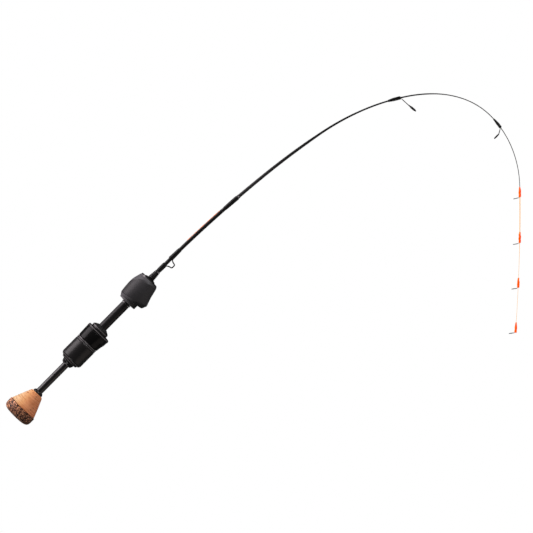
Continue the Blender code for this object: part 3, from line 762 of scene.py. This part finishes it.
def build_reel_seat():
    stand_in(
        "knob_rear_bush",
        [
            (62.3, OVER_TUBE_R), (62.3, 4.0), (62.9, 4.7), (64.2, 5.25), (65.1, 5.7), (65.7, 5.65),
            (65.7, 4.3), (69.0, 4.3), (69.0, OVER_TUBE_R),
        ],
        edge=0.2, step=0.6,
    )
    stand_in(
        "knob_flange",
        [(66.0, 4.6), (66.0, 7.1), (66.2, 7.55), (66.9, 8.0), (67.3, 8.2), (67.3, 4.6)],
        edge=0.12, step=0.6,
    )
    stand_in(
        "lock_knob",
        [
            (67.6, 4.6), (67.6, 8.9), (68.0, 9.4), (68.8, 10.05), (69.7, KNOB_R), (85.9, KNOB_R),
            (85.9, 7.2), (85.5, 7.2), (85.5, 7.95), (84.2, 7.95), (84.2, 7.2), (83.0, 7.2),
            (83.0, OVER_THREAD_R), (70.4, OVER_THREAD_R), (70.4, 4.6),
        ],
        sides=128, edge=0.22,
    )
    stand_in(
        "trim_ring",
        [
            (86.2, 7.3), (86.2, 10.15), (86.5, 10.45), (87.05, 10.45), (87.3, 10.15), (87.8, 10.15),
            (88.05, 10.45), (88.6, 10.45), (88.9, 10.15), (88.9, 7.3),
        ],
        sides=128, edge=0.2, step=0.5,
    )
    stand_in(
        "slide_hood",
        [
            (89.2, 7.3), (89.2, flared(10.2, 10.4)), (89.5, flared(10.45, 10.65)),
            (93.5, flared(10.65, 11.15)), (96.5, flared(10.75, 11.9)), (100.1, flared(10.8, 12.15)),
            (100.35, flared(10.95, 12.4)), (101.7, flared(10.9, 12.35)), (102.4, flared(10.7, 11.8)),
            (102.7, flared(10.4, 11.1)), (102.7, pocketed(8.6, 10.7)), (95.0, pocketed(8.6, 10.1)),
            (94.2, 8.6), (91.2, 8.6), (91.2, 7.3),
        ],
        sides=144, edge=0.2, step=0.8,
    )
    stand_in(
        "hood_saddle",
        [
            (83.3, OVER_THREAD_R), (83.3, 6.9), (84.25, 6.9), (84.25, 6.4), (85.45, 6.4),
            (85.45, 6.9), (91.6, 6.9), (91.6, 8.1), (102.7, 8.1), (103.0, 8.3), (105.2, 8.3),
            (105.4, 8.1), (105.4, OVER_THREAD_R),
        ],
        edge=0.15,
    )
    stand_in(
        "nose_bush",
        [
            (101.6, 4.2), (101.6, 5.5), (105.6, 5.5), (105.6, 7.75), (106.1, 7.15), (106.7, 6.15),
            (107.3, 5.1), (107.6, 4.6), (107.6, 4.2),
        ],
        edge=0.25, step=0.5,
    )
    stand_in(
        "seat_tube",
        [(92.8, ON_TUBE_R), (92.8, 4.0), (135.2, 4.0), (135.2, ON_TUBE_R)], edge=0.1, step=2.0,
    )
    stand_in(
        "seat_front_collar",
        [
            (135.5, ON_TUBE_R), (135.5, 4.1), (135.75, 4.4), (136.5, 4.4), (136.75, 4.1),
            (136.75, ON_TUBE_R),
        ],
        edge=0.2, step=0.4,
    )


def build_foregrip():
    stand_in(
        "front_saddle",
        [
            (137.0, ON_TUBE_R), (137.0, 5.0), (137.35, egg(8.1, 7.8, 8.0)),
            (137.5, egg(8.7, 8.3, 8.4)), (138.1, egg(8.7, 8.3, 8.4)), (138.2, 8.3), (141.9, 8.3),
            (142.1, 8.0), (150.2, 8.0), (150.4, 6.0), (164.6, 6.0), (164.6, ON_TUBE_R),
        ],
        edge=0.2,
    )
    stand_in(
        "foregrip",
        [
            ((138.3, 140.2, 142.1), egg(8.8, 11.2, 9.1)), ((138.8, 140.55, 142.2), egg(9.2, 11.9, 9.6)),
            ((140.2, 141.6, 143.0), egg(10.1, 12.7, 10.3)), ((141.3, 143.0, 144.7), egg(10.6, 13.4, 10.85)),
            ((143.4, 145.1, 146.8), egg(10.9, 14.3, 11.1)), ((147.1, 147.8, 148.7), egg(11.25, 13.7, 11.3)),
            (151.4, egg(11.5, 12.7, 11.4)), (155.0, egg(11.4, 11.6, 11.15)),
            ((156.6, 161.2, 162.9), egg(11.2, 9.7, 10.4)), ((157.5, 161.8, 163.4), egg(10.95, 9.35, 10.0)),
            ((161.5, 163.3, 164.3), egg(9.9, 8.9, 9.35)), ((163.6, 164.4, 164.8), egg(9.2, 8.5, 8.8)),
            (165.15, egg(8.6, 7.9, 8.2)), (165.2, egg(8.0, 7.3, 7.6)), (165.2, 6.35), (150.7, 6.35),
            (150.7, 8.45), (150.2, pocketed(8.45, 10.3)), ((138.3, 140.2, 142.1), pocketed(8.65, 10.4)),
        ],
        sides=144, edge=0.22, step=0.8,
    )
    stand_in(
        "front_check",
        [(165.25, 1.75), (165.25, 5.3), (165.8, 5.2), (166.6, 3.0), (166.6, 1.75)], edge=0.15, step=0.4,
    )
    rear, front, ribs = 166.65, 173.9, 5
    pitch = (front - rear) / ribs
    profile = [(rear, 1.7)]
    for n in range(ribs):
        start = rear + n * pitch
        crest = 3.1 - 0.14 * n
        profile += [(start, crest - 0.35), (start + 0.25 * pitch, crest), (start + 0.7 * pitch, crest)]
    profile += [(front, 2.1), (front, 1.7)]
    stand_in("ribbed_taper", profile, sides=72, edge=0.16, step=0.4)


# ---- blank --------------------------------------------------------------------------------------
def build_blank():
    outside = [(s, between(BLANK_RADII, s)) for s in stations_between(120, 262, 6)]
    stand_in(
        "butt_blank",
        [(120, 0), *outside, (262, 0.9), (251, 0.9), (251, 0)], sides=48, closed=False, edge=0.08,
        step=3.0,
    )
    for n, (rear_body, front_body, rear, front, bend_start) in enumerate(BEND_STRETCHES, 1):
        outside = [(s, between(BLANK_RADII, s)) for s in stations_between(rear, front, 2.0)]
        ends = [(251.5, 0), (251.5, 0.72), (rear, 0.72)] if n == 1 else [(rear, 0)]
        part = turned(
            f"tip_blank_finish_{n}", [*ends, *outside, (front, 0)], sides=32, closed=False, edge=0.05,
            step=2.5,
        )
        dress(part, "tip_blank")
        start, end = frame_at(bend_start)[0] * MM, frame_at(front)[0] * MM
        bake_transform(part)
        if n == 1:
            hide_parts("tip_blank")
    stations = stations_between(FLAT_TIP_REAR, ROD_LENGTH, 3)
    stand_in(
        "flat_tip",
        [
            (FLAT_TIP_REAR, 0),
            *[(s, strip(between(FLAT_TIP_HALVES, s), 0.75)) for s in stations],
            (ROD_LENGTH, 0),
        ],
        sides=32, closed=False, edge=0.04,
    )


def build_blank_marks():
    """Plain dashes along the top of the blank, where the real rod has printing."""
    lengths = (4.6, 2.0, 3.2, 2.0, 5.4, 1.5, 2.8, 2.2, 4.2, 1.8)
    gap, start, across = 0.9, 211.5, 6
    middle_angle, arc, lifts = 196, 38, (0.004, 0.18)
    points, rod, faces = [], [], []
    for length in lengths:
        inside_out = []
        for lift in lifts:
            grid = []
            for station in stations_between(start, start + length, 0.6):
                r = between(BLANK_RADII, station) + lift
                row = []
                for n in range(across + 1):
                    angle = math.radians(middle_angle + arc * (n / across - 0.5))
                    x, y = r * math.cos(angle), r * math.sin(angle)
                    row.append(len(points))
                    points.append(place(station, x, y))
                    rod.append((station, x, y))
                grid.append(row)
            inside_out.append(grid)
        low, high = inside_out
        for i in range(len(low) - 1):
            for j in range(across):
                faces.append((low[i][j], low[i][j + 1], low[i + 1][j + 1], low[i + 1][j]))
                faces.append((high[i][j], high[i + 1][j], high[i + 1][j + 1], high[i][j + 1]))
            faces.append((low[i][0], low[i + 1][0], high[i + 1][0], high[i][0]))
            faces.append((low[i][-1], high[i][-1], high[i + 1][-1], low[i + 1][-1]))
        for j in range(across):
            faces.append((low[0][j], high[0][j], high[0][j + 1], low[0][j + 1]))
            faces.append((low[-1][j], low[-1][j + 1], high[-1][j + 1], high[-1][j]))
        start += length + gap
    marks = make_piece("blank_marks", points, faces, rod)
    # the dashes glow a little: a painted glow that brightens the print's orange
    marks.data.materials.append(
        plastic(
            "marks_look", (0.95, 0.24, 0.06), 0.4, 0.5, 3.0, 0.001, 0.15,
            Emission_Color=(1.0, 0.2, 0.03, 1), Emission_Strength=0.25,
        )
    )
    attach(marks, "handle")


# ---- wraps, keeper and guides -------------------------------------------------------------------
def wrap(node, start, end, rear_r, front_r, inner, relief, full):
    """Thread wound over the blank, from rear_r at its rear to front_r by the share full of its length."""
    length = end - start
    stand_in(
        node,
        [
            (start, inner), (start, rear_r - 0.12), (start + 0.25, rear_r),
            (start + full * length, front_r), (end - 0.5, front_r), (end, front_r - 0.22),
            (end, inner),
        ],
        sides=56, edge=0.3, step=0.055, relief=relief,
    )


def build_wraps():
    stand_in(
        "taper_trim_ring",
        [(174.1, 1.7), (174.1, 2.1), (174.3, 2.4), (174.7, 2.36), (175.1, 2.05), (175.1, 1.7)],
        sides=64, edge=0.1, step=0.3,
    )
    fine = threaded(0.24, 0.018, 0.04)
    wrap("keeper_wrap_rear", 175.3, 184.1, 2.02, 2.14, 1.55, fine, full=0.3)
    wrap("keeper_wrap_front", 190.2, 201.8, 2.22, 1.92, 1.55, fine, full=0.85)
    wrap("ferrule_wrap", 254.0, 268.9, 1.75, 1.99, 1.56, fine, full=0.6)
    stand_in(
        "ferrule_trim_ring",
        [(269.2, 1.5), (269.2, 1.64), (269.4, 1.72), (270.0, 1.72), (270.2, 1.64), (270.2, 1.5)],
        sides=64, edge=0.1, step=0.3,
    )
    wrap("guide_1_wrap", 423.6, 434.9, 0.98, 1.48, 0.71, threaded(0.22, 0.015, 0.05), full=0.45)
    wrap("guide_2_wrap", 521.2, 531.0, 0.68, 1.26, 0.42, threaded(0.2, 0.014, 0.05), full=0.5)
    for n, (start, end) in enumerate(TIP_WRAPS, 1):
        wrap(f"tip_wrap_{n}", start, end, 0.62, 1.03, 0.3, threaded(0.3, 0.02, 0.28, 1.8), full=0.45)


def build_keeper():
    foot, neck, wire = (0.07, 0.4), (0.45, 0.45), (0.6, 0.58)
    rear_leg = [(178.5, 1.66), (183.2, 1.66), (183.75, 2.1), (184.3, 2.8), (184.8, 3.6)]
    loop = [
        (185.1, 4.6), (185.2, 5.5), (185.6, 6.15), (186.3, 6.4), (187.4, 6.42), (188.4, 6.4),
        (189.1, 6.15), (189.45, 5.5), (189.55, 4.6), (189.75, 3.6),
    ]
    front_leg = [(190.2, 2.8), (190.7, 2.1), (191.3, 1.66), (196.4, 1.66)]
    sizes = [foot, foot, neck, wire, wire, *[wire] * len(loop), wire, neck, foot, foot]
    put_in_place(swept("hook_keeper_finish", rear_leg + loop + front_leg, sizes, 8), "hook_keeper")


# foot is (rear, front, x), leg is (station, x) from the foot up, and insert is (outer, inner, depth)
GUIDES = {
    "guide_1": {
        "foot": (427.0, 435.0, 0.81), "leg": [(435.7, 1.35), (436.5, 2.6), (438.3, 5.15), (440.1, 7.7)],
        "ring": {"station": 443.0, "x": 11.45, "lean": 37, "outer": 3.7, "inner": 2.85, "thickness": 1.2},
        "foot_size": (0.62, 0.16), "leg_size": (1.1, 0.72), "insert": (2.7, 1.9, 1.7),
    },
    "guide_2": {
        "foot": (524.0, 531.1, 0.56), "leg": [(531.7, 1.1), (532.3, 1.95), (534.0, 3.9)],
        "ring": {"station": 535.0, "x": 7.3, "lean": 10, "outer": 2.85, "inner": 2.25, "thickness": 1.0},
        "foot_size": (0.7, 0.16), "leg_size": (0.9, 0.72), "insert": (2.12, 1.45, 1.3),
    },
}


def ring_frame(base, ring):
    """(centre, outward direction, axis) of a guide's ring, from the station that its leg starts at."""
    _, reel_side, forward = frame_at(base)
    lean = math.radians(ring["lean"])
    outward = reel_side * math.cos(lean) + forward * math.sin(lean)
    axis = forward * math.cos(lean) - reel_side * math.sin(lean)
    return place(base, ring["x"], 0, ring["station"] - base), outward, axis


def guide_frame(name, guide, base):
    """A single-foot frame: a round-edged ring, with a leg and foot grown out of two of its faces."""
    sides = 24
    ring = guide["ring"]
    centre, outward, axis = ring_frame(base, ring)
    points, faces, loops = [], [], []

    def add(spots):
        points.extend(spots)
        return list(range(len(points) - len(spots), len(points)))

    for radius, side in ((ring["outer"], 1), (ring["outer"], -1), (ring["inner"], -1), (ring["inner"], 1)):
        spots = []
        for k in range(sides):
            angle = 2 * math.pi * k / sides
            spoke = -outward * math.cos(angle) + Vector((0, math.sin(angle), 0))
            spots.append(centre + spoke * radius + axis * side * ring["thickness"] / 2)
        loops.append(add(spots))
    for a, b in zip(loops, loops[1:] + loops[:1]):
        faces += [(a[k], b[k], b[(k + 1) % sides], a[(k + 1) % sides]) for k in range(sides)]
    front, back = loops[0], loops[1]
    faces.remove((front[0], back[0], back[1], front[1]))
    faces.remove((front[-1], back[-1], back[0], front[0]))
    section = [front[-1], front[0], front[1], back[1], back[0], back[-1]]
    path = [(place(base, x, 0, s - base), guide["leg_size"]) for s, x in reversed(guide["leg"])]
    rear, front_end, x = guide["foot"]
    path += [(place(s, x, 0), guide["foot_size"]) for s in reversed(stations_between(rear, front_end, 2))]
    before, front_side = centre - outward * ring["outer"], axis
    for k, (spot, (width, thickness)) in enumerate(path):
        after = path[min(k + 1, len(path) - 1)][0]
        down = (after - before).normalized()
        face = Vector((-down.z, 0, down.x))
        if face.dot(front_side) < 0:
            face = -face
        front_side = face
        level = add(
            [
                spot + Vector((0, across * width / 2, 0)) + face * side * thickness / 2
                for side, across in ((1, -1), (1, 0), (1, 1), (-1, 1), (-1, 0), (-1, -1))
            ]
        )
        faces += [(section[n], level[n], level[(n + 1) % 6], section[(n + 1) % 6]) for n in range(6)]
        section, before = level, spot
    faces.append((section[0], section[5], section[4], section[1]))
    faces.append((section[1], section[4], section[3], section[2]))
    rod = [((p - centre).dot(axis), (p - centre).dot(outward), p.y) for p in points]
    return smoothed(make_piece(name, points, faces, rod))


def guide_insert(name, guide, base):
    """The polished ring that the line runs through, thick at its middle and thin at its rims."""
    centre, outward, axis = ring_frame(base, guide["ring"])
    outer, inner, depth = guide["insert"]
    middle, half = (outer + inner) / 2, (outer - inner) / 2
    round_sides, ring_sides = 16, 64
    points, rod, faces = [], [], []
    for n in range(round_sides):
        turn = 2 * math.pi * n / round_sides
        r, offset = middle + half * math.cos(turn), depth / 2 * math.sin(turn)
        for k in range(ring_sides):
            angle = 2 * math.pi * k / ring_sides
            spoke = -outward * math.cos(angle) + Vector((0, math.sin(angle), 0))
            points.append(centre + spoke * r + axis * offset)
            rod.append((offset, r * math.cos(angle), r * math.sin(angle)))
    for n in range(round_sides):
        a, b = n * ring_sides, (n + 1) % round_sides * ring_sides
        for k in range(ring_sides):
            m = (k + 1) % ring_sides
            faces.append((a + k, b + k, b + m, a + m))
    return make_piece(name, points, faces, rod)


def build_guides():
    for name, guide in GUIDES.items():
        base = guide["leg"][0][0]
        put_in_place(guide_frame(f"{name}_frame_finish", guide, base), f"{name}_frame")
        put_in_place(guide_insert(f"{name}_ring_finish", guide, base), f"{name}_ring")
    for n, (_, wrap_end) in enumerate(TIP_WRAPS, 1):
        base = wrap_end - 0.1 if wrap_end >= ROD_LENGTH else wrap_end + 0.3
        guide = {
            "foot": (base - 7.5, base - 0.6, 0.5), "leg": [(base, 0.6), (base + 0.3, 1.2)],
            "ring": {
                "station": base + 0.7, "x": 3.6, "lean": 12, "outer": 2.2, "inner": 1.55, "thickness": 0.66,
            },
            "foot_size": (0.6, 0.16), "leg_size": (0.8, 0.34),
        }
        put_in_place(guide_frame(f"tip_guide_{n}_finish", guide, base), f"tip_guide_{n}")


# ---- stage, camera and light --------------------------------------------------------------------
def build_stage():
    """A pale floor well below the rod, fading into the white round it; lengths in metres."""
    radius, sides = 1.9, 96
    fade_start, fade_end, least_glow = 0.25, 0.9 * radius, 0.45
    middle = Vector((0.2172, 0, -0.3))
    rim = [
        middle + radius * Vector((math.cos(2 * math.pi * k / sides), math.sin(2 * math.pi * k / sides), 0))
        for k in range(sides)
    ]
    mesh = bpy.data.meshes.new("floor")
    mesh.from_pydata(rim, [], [tuple(range(sides))])
    floor = add_object("floor", mesh)
    look = bpy.data.materials.new("floor_look")
    look.use_nodes = True
    tree = look.node_tree
    shader = tree.nodes["Principled BSDF"]
    shader.inputs["Base Color"].default_value = (0.9, 0.9, 0.9, 1)
    shader.inputs["Roughness"].default_value = 0.9
    glow = tree.nodes.new("ShaderNodeEmission")
    glow.inputs["Color"].default_value = (1, 1, 1, 1)
    where = tree.nodes.new("ShaderNodeTexCoord")
    centred = tree.nodes.new("ShaderNodeMapping")
    centred.inputs["Location"].default_value = -middle
    length = tree.nodes.new("ShaderNodeVectorMath")
    length.operation = "LENGTH"
    fade = tree.nodes.new("ShaderNodeMapRange")
    fade.interpolation_type = "SMOOTHSTEP"
    fade.inputs["From Min"].default_value = fade_start
    fade.inputs["From Max"].default_value = fade_end
    fade.inputs["To Min"].default_value = least_glow
    blend = tree.nodes.new("ShaderNodeMixShader")
    tree.links.new(where.outputs["Object"], centred.inputs["Vector"])
    tree.links.new(centred.outputs["Vector"], length.inputs[0])
    tree.links.new(length.outputs["Value"], fade.inputs["Value"])
    tree.links.new(fade.outputs["Result"], blend.inputs["Fac"])
    tree.links.new(shader.outputs[0], blend.inputs[1])
    tree.links.new(glow.outputs[0], blend.inputs[2])
    tree.links.new(blend.outputs[0], tree.nodes["Material Output"].inputs["Surface"])
    mesh.materials.append(look)
    floor.visible_diffuse = False
    floor.visible_glossy = False


def add_softbox(name, place_at, aim, size, power, colour=(1, 1, 1)):
    light = bpy.data.lights.new(name, "AREA")
    light.shape = "RECTANGLE"
    light.size, light.size_y = size
    light.energy = power
    light.color = colour
    box = add_object(name, light)
    box.location = place_at
    box.rotation_euler = (Vector(aim) - Vector(place_at)).to_track_quat("-Z", "Y").to_euler()
    box.visible_camera = False


def build_light():
    """Softboxes placed in metres, a dim ambient light, and white where the camera sees the world."""
    aim = (0.1, 0, 0.1)
    add_softbox("key", (-0.95, -0.3, 1.15), aim, (1.3, 1.1), 24, (1, 0.92, 0.955))
    add_softbox("forward_fill", (1.3, -1.1, 1.35), aim, (1.0, 1.0), 17)
    add_softbox("rear_fill", (-1.3, -1.1, -1.0), aim, (0.8, 0.8), 14)
    add_softbox("low_fill", (1.1, -0.6, -0.9), aim, (1.6, 1.2), 3.6, (1.0, 0.85, 0.78))
    add_softbox("front_rim", (1.35, 0.35, 1.36), aim, (1.3, 1.1), 5)
    add_softbox("rear_rim", (-1.1, 0.35, -1.1), aim, (1.1, 0.9), 4)
    world = bpy.data.worlds.new("studio")
    world.use_nodes = True
    bpy.context.scene.world = world
    tree = world.node_tree
    ambient = tree.nodes["Background"]
    ambient.inputs["Color"].default_value = (1, 1, 1, 1)
    ambient.inputs["Strength"].default_value = 0.1
    backdrop = tree.nodes.new("ShaderNodeBackground")
    backdrop.inputs["Color"].default_value = (1, 1, 1, 1)
    seen = tree.nodes.new("ShaderNodeLightPath")
    mix = tree.nodes.new("ShaderNodeMixShader")
    tree.links.new(seen.outputs["Is Camera Ray"], mix.inputs["Fac"])
    tree.links.new(ambient.outputs[0], mix.inputs[1])
    tree.links.new(backdrop.outputs[0], mix.inputs[2])
    tree.links.new(mix.outputs[0], tree.nodes["World Output"].inputs["Surface"])
    bpy.context.scene.view_settings.view_transform = "Standard"


def build_camera():
    """The photo's view, straight at the bend plane; lengths in metres."""
    camera = bpy.data.cameras.new("camera")
    camera.lens = 249.5
    camera.sensor_width = 36
    camera.clip_end = 50
    seat = add_object("camera", camera)
    seat.location = (0.21657, -3.18, 0.12874)
    seat.rotation_euler = (math.pi / 2, 0, 0)
    bpy.context.scene.camera = seat


build_butt()
build_reel_seat()
build_foregrip()
build_blank()
build_blank_marks()
build_wraps()
build_keeper()
build_guides()
# the hidden nodes keep their CAD meshes
for hidden in ("seat_thread", "hood_key", "retaining_ring", "blank_arbor_rear", "blank_arbor_front"):
    slots = frame["nodes"][hidden].data.materials
    slots.clear()
    slots.append(LOOKS[SLOT_OF[hidden]])
build_stage()
build_light()
build_camera()
